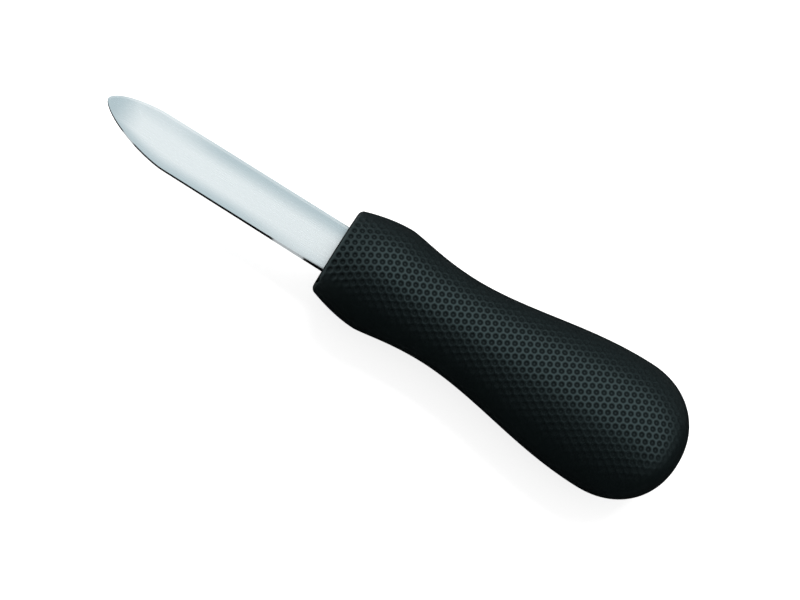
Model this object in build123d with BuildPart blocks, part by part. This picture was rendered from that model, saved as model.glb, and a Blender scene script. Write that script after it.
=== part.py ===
from build123d import *
import os
from math import cos, pi, radians, sin

# An oyster knife that lies on its side, with a short spear blade and a full, waisted grip.
# X runs along the knife from the tip to the butt, Y across it and Z up.
# The origin is on the resting surface, under the middle of the knife. Lengths are in millimetres.

# Blade
blade_length = 76.2
blade_width = 14.5
root_thickness = 2.8
tip_thickness = 1.6
tip_offset = 1.9
upper_curve_reach = 16.7
lower_curve_reach = 23.4
bevel_width = 0.9
bevel_drop = 0.25
bevel_run_out = 12.0
root_edge_break = 0.1

# Tang, inside the handle
tang_length = 66.0
tang_width = 10.6
tang_thickness = 2.4
tang_end_radius = 3.0
tang_hole_diameter = 5.0
tang_hole_count = 3
first_tang_hole_at = 16.0

# Handle, measured back from its front face. Behind its widest place the butt closes it, and where
# it is thickest the soft skin rests on a shallow flat, the same on top as below.
handle_length = 112.5
flange_at = 15.7
waist_at = 37.2
butt_reach = 21.2
front_width = 26.1
flange_width = 32.4
waist_width = 28.1
bulb_width = 41.2
front_thickness = 22.6
flange_thickness = 28.3
waist_thickness = 22.0
bulb_thickness = 28.3
rest_flat_depth = 0.15
front_edge_radius = 1.2
front_swell_power = 1.8
flange_drop_power = 0.68
bulb_rise_power = 0.93
butt_power = 2.15

# Soft skin over the hard core
skin_thickness = 2.6
front_wall = 3.0
butt_wall = 3.2
nose_width = 20.4
nose_height = 9.2
nose_corner_radius = 4.0
ring_width = 5.0
ring_depth = 1.6
ring_count = 3
first_ring_at = 24.0
last_ring_before_bulb = 6.9
bond_gap = 0.3

# How far along each stretch of the handle its oval sections stand. The butt's closing curve is
# followed as far as its closing share, where a small end face is left.
swell_shares = (0.0, 0.45)
drop_shares = (0.0, 0.3, 0.65)
rise_shares = (0.0, 0.3, 0.6, 0.85)
butt_shares = (0.0, 0.32, 0.6, 0.8, 0.93, 1.0)
butt_closing_share = 0.992

# Powers of the two curves that close the blade at its tip, and where their points lie
upper_curve_power = 1.76
lower_curve_power = 1.51
curve_angles = (22, 45, 68)

overall_length = blade_length + handle_length
front_x = blade_length - overall_length / 2
axis_height = max(flange_thickness, bulb_thickness) / 2 - rest_flat_depth
tang_pitch = (tang_length - 2 * first_tang_hole_at) / (tang_hole_count - 1)
bulb_at = handle_length - butt_reach
ring_pitch = (bulb_at - last_ring_before_bulb - first_ring_at) / (ring_count - 1)
ring_places = [first_ring_at + ring_pitch * index for index in range(ring_count)]


def half_size(distance, front, flange, waist, bulb, inset, end):
    """Half the width or thickness of the handle, so far behind its front face."""
    if distance < flange_at:
        swell = (1 - distance / flange_at) ** front_swell_power
        full = flange - (flange - front) * swell
    elif distance < waist_at:
        run = ((distance - flange_at) / (waist_at - flange_at)) ** flange_drop_power
        full = waist + (flange - waist) * (1 + cos(pi * run)) / 2
    elif distance < bulb_at:
        run = ((distance - waist_at) / (bulb_at - waist_at)) ** bulb_rise_power
        full = bulb + (waist - bulb) * (1 + cos(pi * run)) / 2
    else:
        run = butt_closing_share * (distance - bulb_at) / (end - bulb_at)
        return (bulb / 2 - inset) * (1 - run**butt_power) ** (1 / butt_power)
    return full / 2 - inset


def stations(start, end):
    """Distances behind the front face at which the handle's sections stand."""
    places = [start + (flange_at - start) * share for share in swell_shares]
    places += [flange_at + (waist_at - flange_at) * share for share in drop_shares]
    places += [waist_at + (bulb_at - waist_at) * share for share in rise_shares]
    places += [bulb_at + (end - bulb_at) * share for share in butt_shares]
    return places


def across(distance):
    """A plane square to the knife, so far behind the handle's front face."""
    return Plane(origin=(front_x + distance, 0, axis_height), x_dir=(0, 1, 0), z_dir=(1, 0, 0))


def oval(distance, inset, end, plane):
    """The handle's oval section so far behind the front face, drawn in by the inset."""
    widths = (front_width, flange_width, waist_width, bulb_width)
    thicknesses = (front_thickness, flange_thickness, waist_thickness, bulb_thickness)
    with BuildSketch(plane) as section:
        Ellipse(half_size(distance, *widths, inset, end), half_size(distance, *thicknesses, inset, end))
    return section.sketch


def oval_sections(inset, start, end):
    """Oval sections of the handle's form, drawn in by the inset, from start to end."""
    return [oval(distance, inset, end, across(distance)) for distance in stations(start, end)]


def cut_rings(inset, end):
    """Cut the straight-sided keying rings, down to an oval root in each."""
    for place in ring_places:
        ring_plane = across(place - ring_width / 2)
        with BuildSketch(ring_plane) as band:
            Rectangle(bulb_width, flange_thickness + bulb_thickness)
            add(oval(place, inset + ring_depth, end, Plane.XY), mode=Mode.SUBTRACT)
        extrude(band.sketch, amount=ring_width, mode=Mode.SUBTRACT)


def tip_curve(edge_y, tip_y, start_x, tip_x, power):
    """Points from the end of a straight edge to the tip of the blade."""
    points = [(start_x, edge_y)]
    for angle in curve_angles:
        along = sin(radians(angle)) ** (2 / power)
        aside = cos(radians(angle)) ** (2 / power)
        points.append((start_x + (tip_x - start_x) * along, tip_y + (edge_y - tip_y) * aside))
    points.append((tip_x, tip_y))
    return points


def blade_outline(inset, root_inset):
    """Outline of the blade from the front face of the handle to the tip."""
    edge_y = blade_width / 2 - inset
    root_y = blade_width / 2 - root_inset
    tip_x = inset - blade_length
    upper_start = upper_curve_reach - blade_length
    lower_start = lower_curve_reach - blade_length
    upper_points = tip_curve(edge_y, tip_offset, upper_start, tip_x, upper_curve_power)
    lower_points = tip_curve(-edge_y, tip_offset, lower_start, tip_x, lower_curve_power)
    with BuildLine() as outline:
        Line((0, -root_y), (0, root_y))
        Line((0, root_y), (-bevel_run_out, edge_y))
        Line((-bevel_run_out, edge_y), upper_points[0])
        Spline(*upper_points, tangents=[(-1, 0), (0, -1)])
        Spline(*lower_points[::-1], tangents=[(0, -1), (1, 0)])
        Line(lower_points[0], (-bevel_run_out, -edge_y))
        Line((-bevel_run_out, -edge_y), (0, -root_y))
    return outline.edges()


def blade_plane(side, drop):
    """A plane along one flat of the tapered blade, lowered from it by the drop."""
    rise = side * (root_thickness - tip_thickness) / 2
    origin = (front_x, 0, axis_height + side * (root_thickness / 2 - drop))
    return Plane(origin=origin, x_dir=(blade_length, 0, rise), z_dir=(-rise, 0, blade_length))


# Blade: a ruled loft through its lower flat, its two edges and its upper flat, and the tang
with BuildPart() as blade:
    with BuildSketch(blade_plane(-1, 0)):
        make_face(blade_outline(bevel_width, root_edge_break))
    with BuildSketch(blade_plane(-1, bevel_drop)):
        make_face(blade_outline(0, 0))
    with BuildSketch(blade_plane(1, bevel_drop)):
        make_face(blade_outline(0, 0))
    with BuildSketch(blade_plane(1, 0)):
        make_face(blade_outline(bevel_width, root_edge_break))
    loft(ruled=True)
    with BuildSketch(Plane.XY.offset(axis_height - tang_thickness / 2)):
        with Locations((front_x + tang_length / 2, 0)):
            tang_outline = Rectangle(tang_length, tang_width)
        tang_end_corners = tang_outline.vertices().group_by(Axis.X)[-1]
        fillet(tang_end_corners, tang_end_radius)
        for index in range(tang_hole_count):
            with Locations((front_x + first_tang_hole_at + tang_pitch * index, 0)):
                Circle(tang_hole_diameter / 2, mode=Mode.SUBTRACT)
    extrude(amount=tang_thickness)

# Core: the handle's form under the skin, with keying rings, a nose, and pegs through the tang
core_inset = skin_thickness + bond_gap
room_end = handle_length - butt_wall
core_end = room_end - bond_gap
with BuildPart() as handle_core:
    loft(oval_sections(core_inset, front_wall, core_end), ruled=True)
    cut_rings(core_inset, core_end)
    with BuildSketch(across(0)):
        RectangleRounded(nose_width, nose_height, nose_corner_radius)
    extrude(amount=front_wall)
    with BuildSketch(Plane.XY.offset(axis_height - tang_thickness / 2)):
        with Locations((front_x + (tang_length + bond_gap) / 2, 0)):
            Rectangle(tang_length + bond_gap, tang_width)
    extrude(amount=tang_thickness, mode=Mode.SUBTRACT)
    with BuildSketch(Plane.XY.offset(axis_height - tang_thickness / 2)):
        for index in range(tang_hole_count):
            with Locations((front_x + first_tang_hole_at + tang_pitch * index, 0)):
                Circle(tang_hole_diameter / 2 - bond_gap)
    extrude(amount=tang_thickness)

# Room in the skin for the core, with a rib left standing in each keying ring
with BuildPart() as core_room:
    loft(oval_sections(skin_thickness, front_wall, room_end), ruled=True)
    cut_rings(skin_thickness, room_end)
    with BuildSketch(across(0)):
        RectangleRounded(
            nose_width + 2 * bond_gap, nose_height + 2 * bond_gap, nose_corner_radius + bond_gap
        )
    extrude(amount=front_wall)

# Grip: the soft skin that gives the handle its outside
with BuildPart() as grip_sleeve:
    loft(oval_sections(0, 0, handle_length))
    front_rim = grip_sleeve.faces().sort_by(Axis.X)[0].edges()
    fillet(front_rim, front_edge_radius)
    split(bisect_by=Plane.XY, keep=Keep.TOP)
    split(bisect_by=Plane.XY.offset(2 * axis_height), keep=Keep.BOTTOM)
    add(core_room.part, mode=Mode.SUBTRACT)

os.makedirs("parts", exist_ok=True)
blade.part.label = "blade"
export_step(blade.part, "parts/blade.step")
handle_core.part.label = "handle_core"
export_step(handle_core.part, "parts/handle_core.step")
grip_sleeve.part.label = "grip_sleeve"
export_step(grip_sleeve.part, "parts/grip_sleeve.step")
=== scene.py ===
from math import acos, atan, cos, pi, radians, sin, sqrt

import bmesh
import bpy
import numpy as np
from mathutils import Matrix, Vector
from mathutils.geometry import delaunay_2d_cdt


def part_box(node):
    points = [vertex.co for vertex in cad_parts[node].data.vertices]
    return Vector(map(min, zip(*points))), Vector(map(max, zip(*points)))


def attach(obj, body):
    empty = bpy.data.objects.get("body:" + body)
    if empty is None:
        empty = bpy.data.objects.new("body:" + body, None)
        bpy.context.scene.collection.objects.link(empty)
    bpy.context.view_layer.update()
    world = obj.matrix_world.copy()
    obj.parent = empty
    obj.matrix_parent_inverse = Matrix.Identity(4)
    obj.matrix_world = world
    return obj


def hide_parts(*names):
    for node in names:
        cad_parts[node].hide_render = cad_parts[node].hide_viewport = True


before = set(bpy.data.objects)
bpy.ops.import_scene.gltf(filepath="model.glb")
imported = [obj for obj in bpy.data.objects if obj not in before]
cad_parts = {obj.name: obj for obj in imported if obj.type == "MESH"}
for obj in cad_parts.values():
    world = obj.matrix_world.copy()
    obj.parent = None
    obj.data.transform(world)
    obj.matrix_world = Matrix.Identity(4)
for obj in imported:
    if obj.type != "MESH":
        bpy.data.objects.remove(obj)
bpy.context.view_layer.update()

# An oyster knife lying on its side: a short spear blade in a full, waisted grip.
# The soft grip is a net of round dimples over a smooth form, closed by plain sides, and the blade
# is ground slightly round across its flats. Lengths are in metres, in the frame's own axes.

MM = 0.001

grip_low, grip_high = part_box("grip_sleeve")
blade_low, blade_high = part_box("blade")

# Handle, measured back from its front face
FRONT_X = grip_low.x
AXIS_Z = (grip_low.z + grip_high.z) / 2
HANDLE_LENGTH = grip_high.x - grip_low.x
FLANGE_AT = 15.7 * MM
WAIST_AT = 37.2 * MM
BUTT_REACH = 21.2 * MM
BULB_AT = HANDLE_LENGTH - BUTT_REACH
FRONT_WIDTH, FLANGE_WIDTH, WAIST_WIDTH, BULB_WIDTH = 26.1 * MM, 32.4 * MM, 28.1 * MM, 41.2 * MM
FRONT_THICKNESS, WAIST_THICKNESS = 22.6 * MM, 22.0 * MM
FLANGE_THICKNESS = BULB_THICKNESS = grip_high.z - grip_low.z
FRONT_EDGE_RADIUS = 1.2 * MM
FRONT_SWELL_POWER = 1.8
FLANGE_DROP_POWER = 0.68
BULB_RISE_POWER = 0.93
BUTT_POWER = 2.15

# Soft skin
SKIN_THICKNESS = 2.6 * MM
FRONT_WALL = 3.0 * MM
BUTT_WALL = 3.2 * MM
NOSE_HOLE_WIDTH, NOSE_HOLE_HEIGHT, NOSE_HOLE_RADIUS = 21.0 * MM, 9.8 * MM, 4.3 * MM
NOSE_HOLE_LIP = 0.25 * MM

# Plain rim behind the front face, and plain bands along the sides, where two halves of a mould meet
COLLAR_LENGTH = 0.45 * MM
RIM_STEPS = (0.2 * MM, 0.45 * MM, 0.75 * MM)
SIDE_BAND = 0.75 * MM
SIDE_BAND_ROWS = 6
PLAIN_SPACING = 1.2 * MM
FINE_SPACING = PLAIN_SPACING / 12
# The front is rougher, shines less and is darkened with painted shade, less so towards the end of
# this reach
FRONT_SHADE_REACH, FRONT_SHADE_AND_DULLNESS = 14.0 * MM, 0.5

# Dimples, laid out flat as on the two halves of the mould: points round each, with the radius,
# the share of the depth and the share of the rougher, less shiny finish and painted shade
DIMPLE_PITCH = 2.155 * MM
DIMPLE_DEPTH = 0.21 * MM
DIMPLE_RINGS = (
    (1, 0.0, 0.95, 0.35),
    (6, 0.37 * MM, 1.0, 0.85),
    (12, 0.62 * MM, 0.8, 0.95),
    (12, 0.87 * MM, 0.0, 0.42),
)
# Deeper dimples close to the front and shallower ones on the bulb: shares of the depth, so far
# behind the front
DEPTH_PLACES = (0, 4 * MM, 11 * MM, 60 * MM, 85 * MM)
DEPTH_SHARES = (2.2, 1.9, 1.0, 1.0, 0.75)
# They grow from nothing to full as the surface turns from its sides (0) to face straight up (1)
FADE_FROM, FADE_TO = 0.58, 0.92
# The six-sided cells that they stand in, with corners in halves of a side along the handle and in
# halves of the pitch across it, and how clear of the plain bands they and their corners stay
CELL_SIDE = DIMPLE_PITCH / sqrt(3)
CELL_CORNERS = ((2, 0), (1, 1), (-1, 1), (-2, 0), (-1, -1), (1, -1))
FIRST_CELL_GAP = 0.05 * MM
FIRST_CELL_AT = COLLAR_LENGTH + CELL_SIDE + FIRST_CELL_GAP
WHOLE_CELL_GAP, SPARE_CORNER_GAP = 0.12 * MM, 0.45 * MM

# How many points or rings the skin's curves are followed with, how many points of the plan are
# measured at a time, and how near the middle plane a point lies on it
STRAIGHT_SAMPLES, BUTT_SAMPLES = 2500, 1500
NOSE_CORNER_POINTS = 24
RIM_RINGS, LINING_RINGS, BUTT_LINING_RINGS = 6, 16, 9
BUTT_LINING_TURN = radians(86)
PLAN_BATCH = 2000
ON_PLANE = 1e-9

# Blade
BLADE_LENGTH = FRONT_X - blade_low.x
BLADE_WIDTH = blade_high.y - blade_low.y
ROOT_THICKNESS = blade_high.z - blade_low.z
TIP_THICKNESS = 1.6 * MM
TIP_OFFSET = 1.9 * MM
UPPER_REACH, LOWER_REACH = 16.7 * MM, 23.4 * MM
UPPER_POWER, LOWER_POWER = 1.76, 1.51
BEVEL_WIDTH = 0.9 * MM
BEVEL_RUN_OUT = 12.0 * MM
ROOT_EDGE_BREAK = 0.1 * MM
BEVEL_SHARE_LIMIT = 0.3
CROWN_DROP = 0.06 * MM
EDGE_DROP = 0.12 * MM
SPINE_END = 5 * MM
SHARP_TURN = radians(30)
# How many rows and stations the flats have, and how finely the edges' curves are followed
BEVEL_ROWS, FLAT_ROWS = 2, 9
EDGE_STATIONS, LEAD_SAMPLES, CURVE_SAMPLES = 40, 60, 600
TANG_WIDTH, TANG_THICKNESS, TANG_END_RADIUS = 10.6 * MM, 2.4 * MM, 3.0 * MM
TANG_HOLES_AT = (16.0 * MM, 33.0 * MM, 50.0 * MM)
TANG_HOLE_RADIUS = 2.5 * MM
TANG_CORNER_POINTS, TANG_HOLE_POINTS = 9, 32
MERGE_DISTANCE = 0.001 * MM

# Finishes. A pair is the two ends that a soft pattern runs between
NET_COLOURS = (0.0050, 0.0077, 0.0083, 1), (0.0064, 0.0099, 0.0105, 1)
# The hollow colour and the hollow shine are painted shade: darker and less shiny in the dimples, on
# the front rim and towards the front
HOLLOW_SHADE_COLOUR = (0.0040, 0.0060, 0.0064, 1)
NET_ROUGHNESS, HOLLOW_ROUGHNESS = (0.26, 0.32), 0.85
NET_SHINE, HOLLOW_SHADE_SHINE = 0.91, 0.19
SKIN_SHINE_TINT = (0.66, 0.97, 1.0, 1)
CORE_COLOURS = (0.013, 0.016, 0.017, 1), (0.022, 0.026, 0.027, 1)
# The narrow faces' steel is darker than the flats as partly painted shade, and its lighter
# stretches are painted highlights
EDGE_SHADE_AND_HIGHLIGHT_STEEL = (0.33, 0.37, 0.39, 1), (0.45, 0.49, 0.51, 1)
# The flats' steel runs from its bright colour to a shaded one, which is painted shade
BRIGHT_STEEL, SHADED_STEEL = (0.765, 0.832, 0.851, 1), (0.45, 0.555, 0.593, 1)
STEEL_ROUGHNESS = (0.22, 0.34)
# Where the flats are painted darker as shade, and where a strip is painted lighter as a highlight:
# places across run from 1 at the upper edge to -1 at the lower, and places along are measured from
# the tip or from the root
UPPER_SHADE_ACROSS, UPPER_SHADE_FROM_TIP = (0.12, 0.84), (18 * MM, 38 * MM)
UPPER_SHADE_STRENGTH, UPPER_SHADE_SHARES = 0.92, (0.42, 1.0)
LOWER_SHADE_ACROSS, LOWER_SHADE_FROM_ROOT = (-0.42, -1.0), (32 * MM, 6 * MM)
LOWER_SHADE_STRENGTH, LOWER_SHADE_SHARES = 0.9, (1.0, 0.35)
TIP_SHADE_FROM_TIP = (13 * MM, 2 * MM)
HIGHLIGHT_STRIP_ACROSS, HIGHLIGHT_STRIP_SHARE = (0.86, 0.90), 0.35
STREAK_RANGE, STREAK_SHIFT = 0.10, -0.05

# Studio. A card has a finish, a length and height, the middle of its foot, a turn and a lean
FLOOR_REACH, FLOOR_DROP = 3.0, 0.02 * MM
FLOOR_GLOW = 0.76
AMBIENT_LEVEL = 0.36
KEY_TILT, KEY_DISTANCE, KEY_SIZE, KEY_POWER = radians(40), 1.2, (1.2, 0.8), 14.0
FLAT = radians(90)
CLOTH_Z, SLIP_Z = -0.01 * MM, -0.005 * MM
CARDS = {
    "lower_card": ("black", 165 * MM, 70 * MM, (47.5 * MM, -30 * MM, 0), 0, radians(18)),
    "upper_card": ("grey", 190 * MM, 49 * MM, (35 * MM, 43 * MM, 0), radians(180), 0),
    "butt_card": ("black", 90 * MM, 42 * MM, (130 * MM, 6 * MM, 0), radians(90), 0),
    "grip_cloth": ("black", 165 * MM, 73 * MM, (47.5 * MM, -30 * MM, CLOTH_Z), 0, FLAT),
    "blade_cloth": ("black", 75 * MM, 60 * MM, (-72.5 * MM, -30 * MM, CLOTH_Z), 0, FLAT),
    "root_slip": ("floor", 10 * MM, 7 * MM, (-29.9 * MM, -15 * MM, SLIP_Z), 0, FLAT),
    "tip_slip": ("floor", 5 * MM, 5 * MM, (-87 * MM, -10 * MM, SLIP_Z), 0, FLAT),
}

# The view: the knife runs down to the right, seen slightly from its lower side
VIEW_TILT = radians(16.5)
VIEW_TURN = radians(32.19)
VIEW_TARGET = Vector((4.46 * MM, -2.27 * MM, 13.33 * MM))
VIEW_WIDTH = 222.9 * MM
VIEW_DISTANCE = 1.2


# Meshes


def new_mesh(name, vertices, faces):
    """A mesh object with outward faces and smooth shading."""
    mesh = bpy.data.meshes.new(name)
    places = [tuple(map(float, vertex)) for vertex in vertices]
    mesh.from_pydata(places, [], [tuple(map(int, face)) for face in faces])
    shell = bmesh.new()
    shell.from_mesh(mesh)
    bmesh.ops.recalc_face_normals(shell, faces=shell.faces)
    shell.to_mesh(mesh)
    shell.free()
    mesh.polygons.foreach_set("use_smooth", [True] * len(mesh.polygons))
    mesh.update()
    piece = bpy.data.objects.new(name, mesh)
    bpy.context.scene.collection.objects.link(piece)
    return piece


def smooth_step(low, high, value):
    """A smooth rise from 0 to 1 as the value goes from low to high."""
    share = np.clip((value - low) / (high - low), 0, 1)
    return share * share * (3 - 2 * share)


# Grip


def grip_profile(distance, front, flange, waist, bulb):
    """Half the width or thickness of the handle, so far behind its front face."""
    d = np.clip(distance, 0, HANDLE_LENGTH)
    swell = flange - (flange - front) * (1 - np.minimum(d / FLANGE_AT, 1)) ** FRONT_SWELL_POWER
    drop_run = np.clip((d - FLANGE_AT) / (WAIST_AT - FLANGE_AT), 0, 1) ** FLANGE_DROP_POWER
    drop = waist + (flange - waist) * (1 + np.cos(pi * drop_run)) / 2
    rise_run = np.clip((d - WAIST_AT) / (BULB_AT - WAIST_AT), 0, 1) ** BULB_RISE_POWER
    rise = bulb + (waist - bulb) * (1 + np.cos(pi * rise_run)) / 2
    butt_run = np.clip((d - BULB_AT) / BUTT_REACH, 0, 1)
    butt = bulb * (1 - butt_run**BUTT_POWER) ** (1 / BUTT_POWER)
    full = np.select([d < FLANGE_AT, d < WAIST_AT, d < BULB_AT], [swell, drop, rise], butt)
    return full / 2


def rim_cut(distance):
    """How far the rounded front rim draws the handle in."""
    short = FRONT_EDGE_RADIUS - np.clip(distance, 0, FRONT_EDGE_RADIUS)
    return FRONT_EDGE_RADIUS - np.sqrt(np.maximum(FRONT_EDGE_RADIUS**2 - short**2, 0))


def grip_half_sizes(distance):
    """Half width and half thickness of the grip's outside, so far behind its front face."""
    wide = grip_profile(distance, FRONT_WIDTH, FLANGE_WIDTH, WAIST_WIDTH, BULB_WIDTH)
    thicknesses = (FRONT_THICKNESS, FLANGE_THICKNESS, WAIST_THICKNESS, BULB_THICKNESS)
    thick = grip_profile(distance, *thicknesses)
    return wide - rim_cut(distance), thick - rim_cut(distance)


def grip_surface(plan):
    """Points of the upper surface over a plan of (distance, aside), and their normals."""
    d, y = plan[:, 0], plan[:, 1]
    step = 0.01 * MM
    wide, thick = grip_half_sizes(d)
    wide, thick = np.maximum(wide, step), np.maximum(thick, step)
    z = thick * np.sqrt(np.maximum(1 - (y / wide) ** 2, 0))
    ahead = grip_half_sizes(d + step)
    behind = grip_half_sizes(d - step)
    wide_slope = (ahead[0] - behind[0]) / (2 * step)
    thick_slope = (ahead[1] - behind[1]) / (2 * step)
    along = -(y**2) * wide_slope / wide**3 - z**2 * thick_slope / thick**3
    normal = np.stack([along, y / wide**2, z / thick**2], 1)
    normal /= np.maximum(np.linalg.norm(normal, axis=1, keepdims=True), 1e-12)
    return np.stack([d, y, z], 1), normal


def side_outline(spacing):
    """The handle's outline in plan on one side, evenly spaced from the collar to the butt."""
    turn = np.linspace(0, pi / 2, BUTT_SAMPLES)
    straight = np.linspace(COLLAR_LENGTH, BULB_AT, STRAIGHT_SAMPLES)
    closing = BULB_AT + BUTT_REACH * np.sin(turn) ** (2 / BUTT_POWER)
    distance = np.concatenate([straight, closing[1:]])
    distance[-1] = HANDLE_LENGTH
    line = np.stack([distance, grip_half_sizes(distance)[0]], 1)
    line[-1, 1] = 0
    gone = np.concatenate([[0], np.cumsum(np.linalg.norm(np.diff(line, axis=0), axis=1))])
    places = np.linspace(0, gone[-1], int(gone[-1] / spacing))
    if spacing > RIM_STEPS[-1]:
        places = np.insert(places, 1, RIM_STEPS)
    points = np.stack([np.interp(places, gone, line[:, axis]) for axis in (0, 1)], 1)
    reach = spacing / 4
    ahead = np.stack([np.interp(places + reach, gone, line[:, axis]) for axis in (0, 1)], 1)
    behind = np.stack([np.interp(places - reach, gone, line[:, axis]) for axis in (0, 1)], 1)
    run = ahead - behind
    run[-1] = (0, -1)
    run[0] = (1, 0)
    run /= np.linalg.norm(run, axis=1, keepdims=True)
    inward = np.stack([run[:, 1], -run[:, 0]], 1)
    return points, inward


class HalfShell:
    """The upper half of the grip as points over the middle plane, faces and a mirror image."""

    def __init__(self):
        """No points yet. Each point's share says how rough the skin is there, how much less it
        shines and how far painted shade darkens it.
        """
        self.points = []
        self.shade_and_dullness = []
        self.faces = []

    def add(self, points, shade_and_dullness=None):
        """Add points, with each one's share of dullness and painted shade, and return their
        numbers.
        """
        first = len(self.points)
        self.points.extend(np.asarray(points, float).tolist())
        count = len(self.points) - first
        self.shade_and_dullness.extend([0.0] * count if shade_and_dullness is None else shade_and_dullness.tolist())
        return np.arange(first, len(self.points))

    def quads(self, first_row, second_row):
        """Join two rows of points with four-sided faces."""
        for k in range(len(first_row) - 1):
            self.faces.append((first_row[k], first_row[k + 1], second_row[k + 1], second_row[k]))

    def mirrored(self):
        """All the points and faces, with the points on the middle plane shared by both halves."""
        top = np.array(self.points)
        on_plane = np.abs(top[:, 2]) < ON_PLANE
        image = np.arange(len(top))
        image[~on_plane] = len(top) + np.arange((~on_plane).sum())
        below = top[~on_plane] * (1, 1, -1)
        faces = [tuple(f) for f in self.faces]
        faces += [tuple(image[k] for k in reversed(f)) for f in self.faces]
        shade_and_dullness = np.array(self.shade_and_dullness)
        return np.concatenate([top, below]), faces, np.concatenate([shade_and_dullness, shade_and_dullness[~on_plane]])


def whole_cells(outline):
    """Lattice places of the dimples whose whole six-sided cells lie clear of the plain sides."""
    columns = int((HANDLE_LENGTH - FIRST_CELL_AT) / (1.5 * CELL_SIDE)) + 1
    rows = int(BULB_WIDTH / DIMPLE_PITCH)
    found = []
    for i in range(columns):
        for j in range(-rows, rows + 1):
            found.append((3 * i, 2 * j + i % 2))
    found = np.array(found)
    corners = found[:, None, :] + np.array(CELL_CORNERS)[None, :, :]
    plan = lattice_plan(corners.reshape(-1, 2))
    clear = edge_gap(plan, outline) > SIDE_BAND + WHOLE_CELL_GAP
    keep = clear.reshape(-1, len(CELL_CORNERS)).all(1)
    return found[keep], found[~keep]


def lattice_plan(places):
    """Lattice places, in halves of a cell's side and of the pitch, as (distance, aside)."""
    distance = FIRST_CELL_AT + places[:, 0] * CELL_SIDE / 2
    return np.stack([distance, places[:, 1] * DIMPLE_PITCH / 2], 1)


def edge_gap(plan, outline):
    """How far inside the outline each point lies in plan, and negative outside it."""
    gap = np.full(len(plan), np.inf)
    for start in range(0, len(plan), PLAN_BATCH):
        part = plan[start : start + PLAN_BATCH]
        mirrored = np.stack([part[:, 0], np.abs(part[:, 1])], 1)
        apart = np.linalg.norm(mirrored[:, None, :] - outline[None, :, :], axis=2)
        gap[start : start + PLAN_BATCH] = apart.min(1)
    outside = np.abs(plan[:, 1]) > grip_half_sizes(plan[:, 0])[0]
    outside |= plan[:, 0] > HANDLE_LENGTH
    return np.where(outside, -gap, gap)


def add_dimples(shell, cells):
    """Add a dimple to each whole cell and return the corner points by lattice place."""
    centres = lattice_plan(cells)
    template = []
    for count, radius, depth, dullness in DIMPLE_RINGS:
        for k in range(count):
            turn = 2 * pi * k / count
            template.append((radius * cos(turn), radius * sin(turn), depth, dullness))
    template = np.array(template)
    plan = (centres[:, None, :] + template[None, :, :2]).reshape(-1, 2)
    points, normals = grip_surface(plan)
    fade = smooth_step(FADE_FROM, FADE_TO, normals[:, 2])
    depth = DIMPLE_DEPTH * np.interp(plan[:, 0], DEPTH_PLACES, DEPTH_SHARES) * fade
    points -= normals * (depth * np.tile(template[:, 2], len(cells)))[:, None]
    own = shell.add(points, np.tile(template[:, 3], len(cells)) * fade).reshape(len(cells), -1)
    corner_at = {}
    for place in cells:
        for step in CELL_CORNERS:
            corner_at.setdefault((place[0] + step[0], place[1] + step[1]), None)
    keys = sorted(corner_at)
    corner_points, _ = grip_surface(lattice_plan(np.array(keys)))
    corner_at = dict(zip(keys, shell.add(corner_points)))
    for place, made in zip(cells, own):
        centre, inner, middle, rim = made[0], made[1:7], made[7:19], made[19:31]
        corner = [corner_at[(place[0] + s[0], place[1] + s[1])] for s in CELL_CORNERS]
        for k in range(6):
            after, a, b, c = (k + 1) % 6, 2 * k, 2 * k + 1, (2 * k + 2) % 12
            shell.faces.append((centre, inner[k], inner[after]))
            shell.faces.append((inner[k], middle[a], middle[b]))
            shell.faces.append((inner[k], middle[b], inner[after]))
            shell.faces.append((inner[after], middle[b], middle[c]))
            shell.faces.append((middle[a], rim[a], rim[b], middle[b]))
            shell.faces.append((middle[b], rim[b], rim[c], middle[c]))
            shell.faces.append((rim[a], corner[k], rim[b]))
            shell.faces.append((rim[b], corner[k], corner[after]))
            shell.faces.append((rim[b], corner[after], rim[c]))
    return corner_at


def cell_boundary(cells, corner_at):
    """Edges, as pairs of corner points, that only one whole cell has."""
    seen = {}
    for place in cells:
        around = [(place[0] + s[0], place[1] + s[1]) for s in CELL_CORNERS]
        for k in range(6):
            edge = tuple(sorted((around[k], around[(k + 1) % 6])))
            seen[edge] = seen.get(edge, 0) + 1
    return [(corner_at[a], corner_at[b]) for (a, b), times in seen.items() if times == 1]


def add_side_band(shell, outline, inward):
    """Add the plain band round both sides and the butt, and return its rows of points."""
    line = np.concatenate([outline, outline[-2::-1] * (1, -1)])
    into = np.concatenate([inward, inward[-2::-1] * (1, -1)])
    rows = []
    for j in range(SIDE_BAND_ROWS + 1):
        offset = SIDE_BAND * (j / SIDE_BAND_ROWS) ** 2
        points, _ = grip_surface(line + into * offset)
        if j == 0:
            points[:, 2] = 0
        rows.append(shell.add(points))
    for j in range(SIDE_BAND_ROWS):
        shell.quads(rows[j], rows[j + 1])
    return rows


def collar_turns():
    """Angles round the oval sections at the collar, which meet the rows of the plain band."""
    wide, thick = grip_half_sizes(np.array([COLLAR_LENGTH]))
    offsets = SIDE_BAND * (np.arange(SIDE_BAND_ROWS + 1) / SIDE_BAND_ROWS) ** 2
    near = np.arccos(1 - offsets / wide[0])
    count = int((wide[0] + thick[0]) / 2 * (pi - 2 * near[-1]) / PLAIN_SPACING)
    between = np.linspace(near[-1], pi - near[-1], count)[1:-1]
    return np.concatenate([near, between, pi - near[::-1]])


def oval_ring(distance, turns, inset=0.0):
    """The upper half of the oval section so far behind the front face, drawn in by the inset."""
    wide, thick = grip_half_sizes(np.array([distance]))
    y = (wide[0] - inset) * np.cos(turns)
    z = (thick[0] - inset) * np.sin(turns)
    z[[0, -1]] = 0
    return np.stack([np.full(len(turns), distance), y, z], 1)


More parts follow.
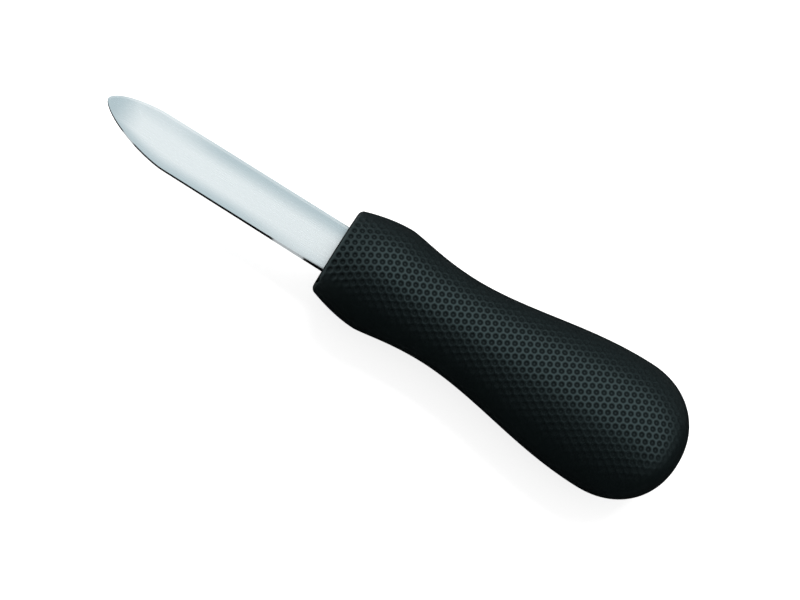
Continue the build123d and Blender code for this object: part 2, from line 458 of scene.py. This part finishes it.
def nose_hole_ring(distance, turns, outer, grow=0.0):
    """Points of the nose's rounded hole in line with the outer ring's points."""
    half_wide, half_high = NOSE_HOLE_WIDTH / 2 + grow, NOSE_HOLE_HEIGHT / 2 + grow
    radius = NOSE_HOLE_RADIUS + grow
    arc = np.linspace(0, pi / 2, NOSE_CORNER_POINTS)
    y = np.concatenate([[half_wide], half_wide - radius + radius * np.cos(arc)])
    z = np.concatenate([[0.0], half_high - radius + radius * np.sin(arc)])
    y = np.concatenate([y, -y[::-1]])
    z = np.concatenate([z, z[::-1]])
    bearing, hole_bearing = np.arctan2(outer[:, 2], outer[:, 1]), np.arctan2(z, y)
    y, z = np.interp(bearing, hole_bearing, y), np.interp(bearing, hole_bearing, z)
    ring = np.stack([np.full(len(turns), distance), y, z], 1)
    ring[[0, -1], 2] = 0
    return ring


def add_front_and_lining(shell, collar):
    """Add the front rim, its face, the nose's hole and the inside of the skin, as rings."""
    turns = collar_turns()
    rings = [collar]
    collar_angle = acos(1 - COLLAR_LENGTH / FRONT_EDGE_RADIUS)
    # The front rim, the face and the nose hole's lip are rough, shine less and are fully darkened
    # with painted shade
    rim_shade_and_dullness = np.ones(len(turns))
    for angle in np.linspace(collar_angle, 0, RIM_RINGS)[1:]:
        rings.append(shell.add(oval_ring(FRONT_EDGE_RADIUS * (1 - cos(angle)), turns), rim_shade_and_dullness))
    face = oval_ring(0.0, turns)
    rings.append(shell.add(nose_hole_ring(0.0, turns, face, NOSE_HOLE_LIP), rim_shade_and_dullness))
    rings.append(shell.add(nose_hole_ring(NOSE_HOLE_LIP, turns, face), rim_shade_and_dullness))
    rings.append(shell.add(nose_hole_ring(FRONT_WALL, turns, face)))
    room_end = HANDLE_LENGTH - BUTT_WALL
    for distance in np.linspace(FRONT_WALL, BULB_AT, LINING_RINGS):
        rings.append(shell.add(oval_ring(distance, turns, SKIN_THICKNESS)))
    wide, thick = BULB_WIDTH / 2 - SKIN_THICKNESS, BULB_THICKNESS / 2 - SKIN_THICKNESS
    for angle in np.linspace(0, BUTT_LINING_TURN, BUTT_LINING_RINGS)[1:]:
        distance = BULB_AT + (room_end - BULB_AT) * sin(angle)
        ring = np.stack([np.full(len(turns), distance), np.cos(turns), np.sin(turns)], 1)
        ring *= (1, wide * cos(angle), thick * cos(angle))
        ring[[0, -1], 2] = 0
        rings.append(shell.add(ring))
    for one, other in zip(rings, rings[1:]):
        shell.quads(one, other)
    middle = shell.add([(room_end, 0, 0)])[0]
    for k in range(len(turns) - 1):
        shell.faces.append((rings[-1][k], rings[-1][k + 1], middle))


def inside_loop(point, loop):
    """Whether a point of the plan lies inside a closed loop of points."""
    ahead = np.roll(loop, -1, 0)
    crosses = (loop[:, 1] > point[1]) != (ahead[:, 1] > point[1])
    start, end = loop[crosses], ahead[crosses]
    share = (point[1] - start[:, 1]) / (end[:, 1] - start[:, 1])
    return (start[:, 0] + (end[:, 0] - start[:, 0]) * share > point[0]).sum() % 2 == 1


def fill_between(shell, cells, others, corner_at, loop, outline):
    """Join the net of whole cells to the plain rim round it with triangles in plan."""
    boundary = cell_boundary(cells, corner_at)
    inner = sorted({index for edge in boundary for index in edge})
    spare = set()
    for place in others:
        spare.add(tuple(place))
        for step in CELL_CORNERS:
            spare.add((place[0] + step[0], place[1] + step[1]))
    spare = np.array(sorted(spare - set(corner_at)))
    plan = lattice_plan(spare)
    roomy = edge_gap(plan, outline) > SIDE_BAND + SPARE_CORNER_GAP
    roomy &= plan[:, 0] > COLLAR_LENGTH + SPARE_CORNER_GAP
    extra, _ = grip_surface(plan[roomy])
    extra = shell.add(extra)
    used = list(loop) + inner + list(extra)
    at = {index: k for k, index in enumerate(used)}
    coords = [Vector(shell.points[index][:2]) / MM for index in used]
    edges = [(k, (k + 1) % len(loop)) for k in range(len(loop))]
    edges += [(at[a], at[b]) for a, b in boundary]
    _, _, triangles, origins, _, _ = delaunay_2d_cdt(coords, edges, [], 1, 1e-6, True)
    whole = {tuple(place) for place in cells}
    rim = np.array([shell.points[index][:2] for index in loop])
    for triangle in triangles:
        corners = [used[origins[k][0]] for k in triangle]
        middle = np.mean([shell.points[c][:2] for c in corners], 0)
        if not inside_loop(middle, rim):
            continue
        across = round((middle[0] - FIRST_CELL_AT) / (1.5 * CELL_SIDE))
        near = []
        for i in (across - 1, across, across + 1):
            j = round((middle[1] / DIMPLE_PITCH) - (i % 2) / 2)
            place = (3 * i, 2 * j + i % 2)
            spot = lattice_plan(np.array([place]))[0]
            near.append((float(np.linalg.norm(spot - middle)), place))
        if min(near)[1] not in whole:
            shell.faces.append(tuple(corners))


def build_grip():
    """The soft skin, with its net of dimples, plain sides, front rim and lining."""
    shell = HalfShell()
    outline, inward = side_outline(PLAIN_SPACING)
    fine_outline = side_outline(FINE_SPACING)[0]
    cells, others = whole_cells(fine_outline)
    corner_at = add_dimples(shell, cells)
    band = add_side_band(shell, outline, inward)
    turns = collar_turns()
    arch = shell.add(oval_ring(COLLAR_LENGTH, turns[SIDE_BAND_ROWS + 1 : -SIDE_BAND_ROWS - 1]))
    start = [row[0] for row in band]
    end = [row[-1] for row in band]
    collar = np.array(start + list(arch) + end[::-1])
    loop = list(band[-1]) + list(arch[::-1])
    fill_between(shell, cells, others, corner_at, loop, fine_outline)
    add_front_and_lining(shell, collar)
    points, faces, shade_and_dullness = shell.mirrored()
    # Painted shade, with a rougher and less shiny finish, towards the front
    near_front = 1 - np.clip(points[:, 0] / FRONT_SHADE_REACH, 0, 1)
    shade_and_dullness = np.maximum(shade_and_dullness, FRONT_SHADE_AND_DULLNESS * near_front)
    points += (FRONT_X, 0, AXIS_Z)
    grip = new_mesh("dimpled_grip", points, faces)
    attribute = grip.data.attributes.new("shade_and_dull", "FLOAT", "POINT")
    attribute.data.foreach_set("value", shade_and_dullness)
    return grip


# Blade


def tip_curve(reach, power, edge_y, lead):
    """Evenly spaced points along one edge to the tip, with the straight that leads into it."""
    tip_x = FRONT_X - BLADE_LENGTH
    angle = np.linspace(0, pi / 2, CURVE_SAMPLES)
    x = tip_x + reach * (1 - np.sin(angle) ** (2 / power))
    y = TIP_OFFSET + (edge_y - TIP_OFFSET) * np.cos(angle) ** (2 / power)
    y[-1] = TIP_OFFSET
    if lead > reach:
        x = np.concatenate([np.linspace(tip_x + lead, tip_x + reach, LEAD_SAMPLES)[:-1], x])
        y = np.concatenate([np.full(LEAD_SAMPLES - 1, edge_y), y])
    gone = np.concatenate([[0], np.cumsum(np.hypot(np.diff(x), np.diff(y)))])
    places = np.linspace(0, gone[-1], EDGE_STATIONS)
    return np.stack([np.interp(places, gone, x), np.interp(places, gone, y)], 1)


def blade_edges():
    """Points along the upper and lower edge and the middle of the flat, from root to tip."""
    tip_x = FRONT_X - BLADE_LENGTH
    straight = np.linspace(FRONT_X, tip_x + LOWER_REACH, EDGE_STATIONS)[:-1]
    half = BLADE_WIDTH / 2
    run = np.linspace(0, 1, EDGE_STATIONS)
    spine_x = tip_x + LOWER_REACH + (SPINE_END - LOWER_REACH) * run
    curves = (
        (half, tip_curve(UPPER_REACH, UPPER_POWER, half, LOWER_REACH)),
        (-half, tip_curve(LOWER_REACH, LOWER_POWER, -half, 0)),
        (0.0, np.stack([spine_x, TIP_OFFSET * run**2], 1)),
    )
    lines = []
    for aside, curve in curves:
        root = np.stack([straight, np.full(len(straight), aside)], 1)
        lines.append(np.concatenate([root, curve]))
    return lines


def flat_height(x):
    """Height of the untouched flat above the knife's middle plane."""
    share = (FRONT_X - x) / BLADE_LENGTH
    return (ROOT_THICKNESS + (TIP_THICKNESS - ROOT_THICKNESS) * share) / 2


def blade_rows():
    """Rows of points across one flat, from the upper edge to the lower, with their place across."""
    upper, lower, spine = blade_edges()
    flat_steps = np.linspace(0, 1, FLAT_ROWS)
    blocks = []
    for side, edge in ((1, upper), (-1, lower)):
        reach = np.linalg.norm(spine - edge, axis=1)
        run = np.clip((FRONT_X - edge[:, 0]) / BEVEL_RUN_OUT, 0, 1)
        width = ROOT_EDGE_BREAK + (BEVEL_WIDTH - ROOT_EDGE_BREAK) * run
        bevel = np.minimum(width, BEVEL_SHARE_LIMIT * reach) / np.maximum(reach, ROOT_EDGE_BREAK)
        shares = [bevel * k / BEVEL_ROWS for k in range(BEVEL_ROWS)]
        shares += [bevel + (1 - bevel) * step for step in flat_steps]
        block = []
        for k, share in enumerate(shares):
            plan = edge + (spine - edge) * share[:, None]
            if k < BEVEL_ROWS:
                drop = EDGE_DROP - (EDGE_DROP - CROWN_DROP) * (k / BEVEL_ROWS)
            else:
                drop = CROWN_DROP * (1 - flat_steps[k - BEVEL_ROWS]) ** 2
            block.append((plan, drop, side * (1 - share)))
        blocks.append(block)
    upper_block, lower_block = blocks
    return upper_block + lower_block[-2::-1]


def build_blade():
    """The blade's two flats and the narrow faces between them."""
    rows = blade_rows()
    last, tip = len(rows) - 1, len(rows[0][0]) - 1
    points, across, index = [], [], {}

    def key(level, r, s):
        """Which point this is. Rows of the upper and lower side meet in one point at the tip."""
        return level, min(r, last - r) if s == tip else r, s

    def at(level, r, s):
        return index[key(level, r, s)]

    for level in (1, -1):
        for r, (plan, drop, place) in enumerate(rows):
            for s in range(tip + 1):
                if key(level, r, s) not in index:
                    index[key(level, r, s)] = len(points)
                    z = level * (flat_height(plan[s, 0]) - drop)
                    points.append((plan[s, 0], plan[s, 1], AXIS_Z + z))
                    across.append(place[s])
    faces = []
    for level in (1, -1):
        for r in range(last):
            for s in range(tip):
                corner = [at(level, r, s), at(level, r + 1, s)]
                corner += [at(level, r + 1, s + 1), at(level, r, s + 1)]
                kept = [c for k, c in enumerate(corner) if c not in corner[:k]]
                if len(kept) > 2:
                    faces.append(kept)
    walls = len(faces)
    for s in range(tip):
        for r in (0, last):
            faces.append([at(1, r, s), at(1, r, s + 1), at(-1, r, s + 1), at(-1, r, s)])
    for r in range(last):
        faces.append([at(1, r, 0), at(1, r + 1, 0), at(-1, r + 1, 0), at(-1, r, 0)])
    piece = new_mesh("spear_blade", points, faces)
    attribute = piece.data.attributes.new("across", "FLOAT", "POINT")
    attribute.data.foreach_set("value", across)
    for polygon in piece.data.polygons:
        polygon.material_index = 1 if polygon.index >= walls else 0
    piece.data.set_sharp_from_angle(angle=SHARP_TURN)
    return piece


def build_tang():
    """The flat tang with its three holes, cut from plate and hidden in the handle."""
    outline = bpy.data.curves.new("tang_outline", "CURVE")
    outline.dimensions = "2D"
    outline.fill_mode = "BOTH"
    outline.extrude = TANG_THICKNESS / 2
    end_x = blade_high.x
    half = TANG_WIDTH / 2
    arc = np.linspace(0, pi / 2, TANG_CORNER_POINTS)
    corner_x = end_x - TANG_END_RADIUS + TANG_END_RADIUS * np.sin(arc)
    corner_y = half - TANG_END_RADIUS + TANG_END_RADIUS * np.cos(arc)
    edge = [(FRONT_X, half)] + list(zip(corner_x, corner_y))
    edge += list(zip(corner_x[::-1], -corner_y[::-1])) + [(FRONT_X, -half)]
    loops = [edge]
    around = np.linspace(0, 2 * pi, TANG_HOLE_POINTS + 1)[:-1]
    for place in TANG_HOLES_AT:
        x = FRONT_X + place + TANG_HOLE_RADIUS * np.cos(around)
        loops.append(list(zip(x, TANG_HOLE_RADIUS * np.sin(around))))
    for loop in loops:
        spline = outline.splines.new("POLY")
        spline.points.add(len(loop) - 1)
        for point, (x, y) in zip(spline.points, loop):
            point.co = (x, y, 0, 1)
        spline.use_cyclic_u = True
    drawn = bpy.data.objects.new("tang_drawing", outline)
    bpy.context.scene.collection.objects.link(drawn)
    bpy.context.view_layer.update()
    mesh = bpy.data.meshes.new_from_object(drawn)
    bpy.data.objects.remove(drawn)
    mesh.transform(Matrix.Translation((0, 0, AXIS_Z)))
    mesh.name = "blade_tang"
    shell = bmesh.new()
    shell.from_mesh(mesh)
    bmesh.ops.remove_doubles(shell, verts=shell.verts, dist=MERGE_DISTANCE)
    bmesh.ops.recalc_face_normals(shell, faces=shell.faces)
    shell.to_mesh(mesh)
    shell.free()
    piece = bpy.data.objects.new("blade_tang", mesh)
    bpy.context.scene.collection.objects.link(piece)
    return piece


# Finishes


def add_node(tree, kind, inputs=None, **settings):
    """A node with its settings made first, then its inputs set or linked."""
    made = tree.nodes.new(kind)
    for name, value in settings.items():
        setattr(made, name, value)
    for name, value in (inputs or {}).items():
        if isinstance(value, bpy.types.NodeSocket):
            tree.links.new(value, made.inputs[name])
        else:
            made.inputs[name].default_value = value
    return made


def maths(tree, operation, *values):
    """The result of one sum on up to three values."""
    inputs = dict(enumerate(values))
    return add_node(tree, "ShaderNodeMath", inputs, operation=operation).outputs[0]


def tone_step(tree, value, start, end, low=0.0, high=1.0):
    """A smooth change from low to high as a value goes from start to end."""
    change = add_node(
        tree,
        "ShaderNodeMapRange",
        {"Value": value, "From Min": start, "From Max": end, "To Min": low, "To Max": high},
        interpolation_type="SMOOTHSTEP",
    )
    return change.outputs["Result"]


def mixed(tree, share, first, second, kind="RGBA"):
    """A colour or a number so far between two others."""
    inputs = {"Factor": share, "A": first, "B": second}
    return add_node(tree, "ShaderNodeMix", inputs, data_type=kind).outputs["Result"]


def evenly(tree, value, **ends):
    """A value moved evenly from one range to another. Underlines stand for spaces."""
    inputs = {"Value": value} | {name.replace("_", " "): end for name, end in ends.items()}
    return add_node(tree, "ShaderNodeMapRange", inputs).outputs["Result"]


def bumped(tree, height, strength, distance):
    """The surface's direction with a fine relief on it."""
    inputs = {"Height": height, "Strength": strength, "Distance": distance}
    return add_node(tree, "ShaderNodeBump", inputs).outputs["Normal"]


def own_value(tree, name):
    """A value that the mesh carries at each of its points."""
    return add_node(tree, "ShaderNodeAttribute", attribute_name=name).outputs["Fac"]


def new_group(name, sizes, outputs):
    """A node group that takes sizes in metres and puts out values over the surface."""
    group = bpy.data.node_groups.new(name, "ShaderNodeTree")
    for label, size in sizes:
        socket = group.interface.new_socket(
            name=label, in_out="INPUT", socket_type="NodeSocketFloat"
        )
        socket.default_value = size
    for label in outputs:
        group.interface.new_socket(name=label, in_out="OUTPUT", socket_type="NodeSocketFloat")
    return group, group.nodes.new("NodeGroupInput"), group.nodes.new("NodeGroupOutput")


def moulded_grain_group():
    """Fine even grain of a moulded face: a height and a soft mottling."""
    group, given, result = new_group(
        "moulded_grain",
        [("Grain Size", 0.12 * MM), ("Mottle Size", 6 * MM)],
        ["Height", "Mottle"],
    )
    place = add_node(group, "ShaderNodeTexCoord").outputs["Object"]
    grain_scale = maths(group, "DIVIDE", 1.0, given.outputs["Grain Size"])
    mottle_scale = maths(group, "DIVIDE", 1.0, given.outputs["Mottle Size"])
    for label, scale, detail in (("Height", grain_scale, 2.0), ("Mottle", mottle_scale, 3.0)):
        inputs = {"Vector": place, "Scale": scale, "Detail": detail}
        noise = add_node(group, "ShaderNodeTexNoise", inputs)
        group.links.new(noise.outputs["Fac"], result.inputs[label])
    return group


def drawn_lines_group():
    """Fine lines that run along the knife: a height and a tone."""
    group, given, result = new_group(
        "drawn_lines",
        [("Line Width", 0.08 * MM), ("Line Length", 12 * MM)],
        ["Height", "Tone"],
    )
    place = add_node(group, "ShaderNodeTexCoord").outputs["Object"]
    finer = maths(group, "DIVIDE", 1.0, given.outputs["Line Width"])
    longer = maths(group, "DIVIDE", 1.0, given.outputs["Line Length"])
    scale = add_node(group, "ShaderNodeCombineXYZ", {"X": longer, "Y": finer, "Z": finer})
    stretched = add_node(
        group, "ShaderNodeVectorMath", {0: place, 1: scale.outputs[0]}, operation="MULTIPLY"
    )
    inputs = {"Vector": stretched.outputs[0], "Scale": 1.0, "Detail": 3.0}
    noise = add_node(group, "ShaderNodeTexNoise", inputs)
    for label in ("Height", "Tone"):
        group.links.new(noise.outputs["Fac"], result.inputs[label])
    return group


def new_material(name):
    """A material with its nodes and its one shader."""
    material = bpy.data.materials.new(name)
    material.use_nodes = True
    tree = material.node_tree
    shader = tree.nodes["Principled BSDF"]
    return material, tree, shader


def placed_effect(tree, group, **sizes):
    """A node group in a material with its own sizes. Underlines stand for spaces."""
    inputs = {name.replace("_", " "): size for name, size in sizes.items()}
    return add_node(tree, "ShaderNodeGroup", inputs, node_tree=group).outputs


def set_shader(tree, shader, **values):
    """Set or link the shader's sockets. Underlines in the names stand for spaces."""
    for name, value in values.items():
        socket = shader.inputs[name.replace("_", " ")]
        if isinstance(value, bpy.types.NodeSocket):
            tree.links.new(value, socket)
        else:
            socket.default_value = value


def grip_rubber(grain):
    """Black soft skin, rougher in its dimples and darkened there and at the front with painted
    shade, a little polished on the net between them.
    """
    material, tree, shader = new_material("grip_rubber")
    effect = placed_effect(tree, grain, Grain_Size=0.1 * MM, Mottle_Size=7 * MM)
    shade_and_dull = own_value(tree, "shade_and_dull")
    net = mixed(tree, effect["Mottle"], *NET_COLOURS)
    low, high = NET_ROUGHNESS
    rubbed = evenly(tree, effect["Mottle"], To_Min=low, To_Max=high)
    set_shader(
        tree,
        shader,
        # The darker colour and lower shine where the mask is high are painted shade
        Base_Color=mixed(tree, shade_and_dull, net, HOLLOW_SHADE_COLOUR),
        Roughness=mixed(tree, shade_and_dull, rubbed, HOLLOW_ROUGHNESS, "FLOAT"),
        Normal=bumped(tree, effect["Height"], strength=0.35, distance=0.02 * MM),
        Specular_IOR_Level=mixed(tree, shade_and_dull, NET_SHINE, HOLLOW_SHADE_SHINE, "FLOAT"),
        Specular_Tint=SKIN_SHINE_TINT,
    )
    return material


def core_plastic(grain):
    """Hard black moulded plastic, a little mottled."""
    material, tree, shader = new_material("core_plastic")
    effect = placed_effect(tree, grain, Grain_Size=0.2 * MM, Mottle_Size=3 * MM)
    set_shader(
        tree,
        shader,
        Base_Color=mixed(tree, effect["Mottle"], *CORE_COLOURS),
        Roughness=0.4,
        Normal=bumped(tree, effect["Height"], strength=0.3, distance=0.02 * MM),
        Specular_IOR_Level=0.3,
    )
    return material


def blade_steel(lines):
    """Satin steel with painted shade towards its edges and its tip, and a painted highlight in a
    strip by the upper edge.
    """
    material, tree, shader = new_material("blade_steel")
    effect = placed_effect(tree, lines)
    across = own_value(tree, "across")
    place = add_node(tree, "ShaderNodeTexCoord").outputs["Object"]
    along = add_node(tree, "ShaderNodeSeparateXYZ", {0: place}).outputs["X"]
    tip_x = FRONT_X - BLADE_LENGTH
    from_tip = [tip_x + reach for reach in UPPER_SHADE_FROM_TIP]
    from_root = [FRONT_X - reach for reach in LOWER_SHADE_FROM_ROOT]
    # Painted shade along the upper edge near the tip, along the lower edge near the root and at the
    # tip
    upper = maths(
        tree,
        "MULTIPLY",
        tone_step(tree, across, *UPPER_SHADE_ACROSS, 0.0, UPPER_SHADE_STRENGTH),
        tone_step(tree, along, *from_tip, *UPPER_SHADE_SHARES),
    )
    lower = maths(
        tree,
        "MULTIPLY",
        tone_step(tree, across, *LOWER_SHADE_ACROSS, 0.0, LOWER_SHADE_STRENGTH),
        tone_step(tree, along, *from_root, *LOWER_SHADE_SHARES),
    )
    tip = tone_step(tree, along, *[tip_x + reach for reach in TIP_SHADE_FROM_TIP])
    tone = maths(tree, "MAXIMUM", maths(tree, "MAXIMUM", upper, lower), tip)
    # A painted highlight in a strip along the upper bevel
    highlight_strip = tone_step(tree, across, *HIGHLIGHT_STRIP_ACROSS, 0.0, HIGHLIGHT_STRIP_SHARE)
    tone = maths(tree, "SUBTRACT", tone, highlight_strip)
    streak = maths(tree, "MULTIPLY_ADD", effect["Tone"], STREAK_RANGE, STREAK_SHIFT)
    tone = maths(tree, "ADD", tone, streak)
    low, high = STEEL_ROUGHNESS
    set_shader(
        tree,
        shader,
        Base_Color=mixed(tree, tone, BRIGHT_STEEL, SHADED_STEEL),
        Roughness=evenly(tree, effect["Tone"], To_Min=low, To_Max=high),
        Normal=bumped(tree, effect["Height"], strength=0.05, distance=0.01 * MM),
        Metallic=0.85,
    )
    return material


def blade_edge_steel(lines):
    """The plain narrow faces of the blade, darker than the flats as partly painted shade, with a
    few lighter stretches at random that are painted highlights.
    """
    material, tree, shader = new_material("blade_edge_steel")
    effect = placed_effect(tree, lines, Line_Width=0.5 * MM, Line_Length=9 * MM)
    # Lighter stretches at random along the narrow faces: painted highlights
    rubbed = evenly(tree, effect["Tone"], From_Min=0.58, From_Max=0.68)
    colour = mixed(tree, rubbed, *EDGE_SHADE_AND_HIGHLIGHT_STEEL)
    set_shader(tree, shader, Base_Color=colour, Roughness=0.22, Metallic=1.0)
    return material


# Studio


def light_path_share(tree):
    """One where a ray comes from the camera, a mirror or clear glass, and zero elsewhere."""
    path = add_node(tree, "ShaderNodeLightPath").outputs
    seen = maths(tree, "MAXIMUM", path["Is Camera Ray"], path["Is Glossy Ray"])
    return maths(tree, "MAXIMUM", seen, path["Is Transmission Ray"])


def build_floor():
    """A wide pale floor that whitens towards the camera and keeps the knife's shadow."""
    shell = bmesh.new()
    bmesh.ops.create_grid(shell, x_segments=2, y_segments=2, size=FLOOR_REACH)
    mesh = bpy.data.meshes.new("studio_floor")
    shell.to_mesh(mesh)
    shell.free()
    mesh.transform(Matrix.Translation((0, 0, -FLOOR_DROP)))
    floor = bpy.data.objects.new("studio_floor", mesh)
    bpy.context.scene.collection.objects.link(floor)
    material, tree, shader = new_material("pale_floor")
    set_shader(
        tree,
        shader,
        Base_Color=(0.8, 0.8, 0.8, 1),
        Roughness=1.0,
        Specular_IOR_Level=0.0,
        Emission_Color=(1, 1, 1, 1),
        Emission_Strength=maths(tree, "MULTIPLY", light_path_share(tree), FLOOR_GLOW),
    )
    mesh.materials.append(material)
    return material


def build_world():
    """A plain white surround that lights the knife less than it shows."""
    world = bpy.data.worlds.new("studio_world")
    bpy.context.scene.world = world
    world.use_nodes = True
    tree = world.node_tree
    background = tree.nodes["Background"]
    level = evenly(tree, light_path_share(tree), To_Min=AMBIENT_LEVEL, To_Max=1.0)
    background.inputs["Color"].default_value = (1, 1, 1, 1)
    tree.links.new(level, background.inputs["Strength"])


def build_key_light():
    """A large soft lamp over the knife, tilted towards +Y, that its gloss doesn't show."""
    data = bpy.data.lights.new("key_light", "AREA")
    data.shape = "RECTANGLE"
    data.size, data.size_y = KEY_SIZE
    data.energy = KEY_POWER
    lamp = bpy.data.objects.new("key_light", data)
    bpy.context.scene.collection.objects.link(lamp)
    back = Vector((0, sin(KEY_TILT), cos(KEY_TILT)))
    lamp.location = Vector((0, 0, AXIS_Z)) + back * KEY_DISTANCE
    side = Vector((1, 0, 0))
    lamp.rotation_euler = Matrix((side, back.cross(side), back)).transposed().to_euler()
    lamp.visible_camera = False
    lamp.visible_glossy = False


def card_finish(name, tone):
    """A dead matt grey or black."""
    material, tree, shader = new_material(name)
    colour = (tone, tone, tone, 1)
    set_shader(tree, shader, Base_Color=colour, Roughness=1.0, Specular_IOR_Level=0.0)
    return material


def reflected_card(name, finish, length, height, place, turn, lean):
    """A card beside the knife or a cloth under it, which only the knife's gloss sees."""
    shell = bmesh.new()
    bmesh.ops.create_grid(shell, x_segments=1, y_segments=1, size=0.5)
    mesh = bpy.data.meshes.new(name)
    shell.to_mesh(mesh)
    shell.free()
    mesh.transform(Matrix.Diagonal((length, height, 1, 1)) @ Matrix.Translation((0, 0.5, 0)))
    card = bpy.data.objects.new(name, mesh)
    bpy.context.scene.collection.objects.link(card)
    card.rotation_euler = (radians(90) - lean, 0, turn)
    card.location = place
    card.visible_camera = False
    card.visible_diffuse = False
    card.visible_shadow = False
    mesh.materials.append(finish)


def build_camera():
    """The camera at the photograph's angle."""
    data = bpy.data.cameras.new("photo_camera")
    camera = bpy.data.objects.new("photo_camera", data)
    bpy.context.scene.collection.objects.link(camera)
    up_slope = Vector((0, cos(VIEW_TILT), sin(VIEW_TILT)))
    along = Vector((1, 0, 0))
    right = along * cos(VIEW_TURN) + up_slope * sin(VIEW_TURN)
    up = up_slope * cos(VIEW_TURN) - along * sin(VIEW_TURN)
    back = right.cross(up)
    placed = Matrix((right, up, back)).transposed().to_4x4()
    placed.translation = VIEW_TARGET + back * VIEW_DISTANCE
    camera.matrix_world = placed
    data.angle = 2 * atan(VIEW_WIDTH / 2 / VIEW_DISTANCE)
    data.clip_start = 0.01
    data.clip_end = 20.0
    bpy.context.scene.camera = camera


# The knife in its studio

build_camera()
build_world()
bare_floor = build_floor()
build_key_light()
card_finishes = {
    "black": card_finish("black_card", tone=0.01),
    "grey": card_finish("grey_card", tone=0.12),
    "floor": bare_floor,
}
for card_name, (finish, *shape) in CARDS.items():
    reflected_card(card_name, card_finishes[finish], *shape)

bpy.context.scene.view_settings.view_transform = "Standard"

grain = moulded_grain_group()
lines = drawn_lines_group()

grip = build_grip()
grip.data.materials.append(grip_rubber(grain))
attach(grip, "root")
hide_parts("grip_sleeve")

steel = blade_steel(lines)
blade = build_blade()
blade.data.materials.append(steel)
blade.data.materials.append(blade_edge_steel(lines))
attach(blade, "root")
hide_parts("blade")

tang = build_tang()
tang.data.materials.append(steel)
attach(tang, "root")
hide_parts("blade")

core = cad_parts["handle_core"]
core.data.materials.clear()
core.data.materials.append(core_plastic(grain))
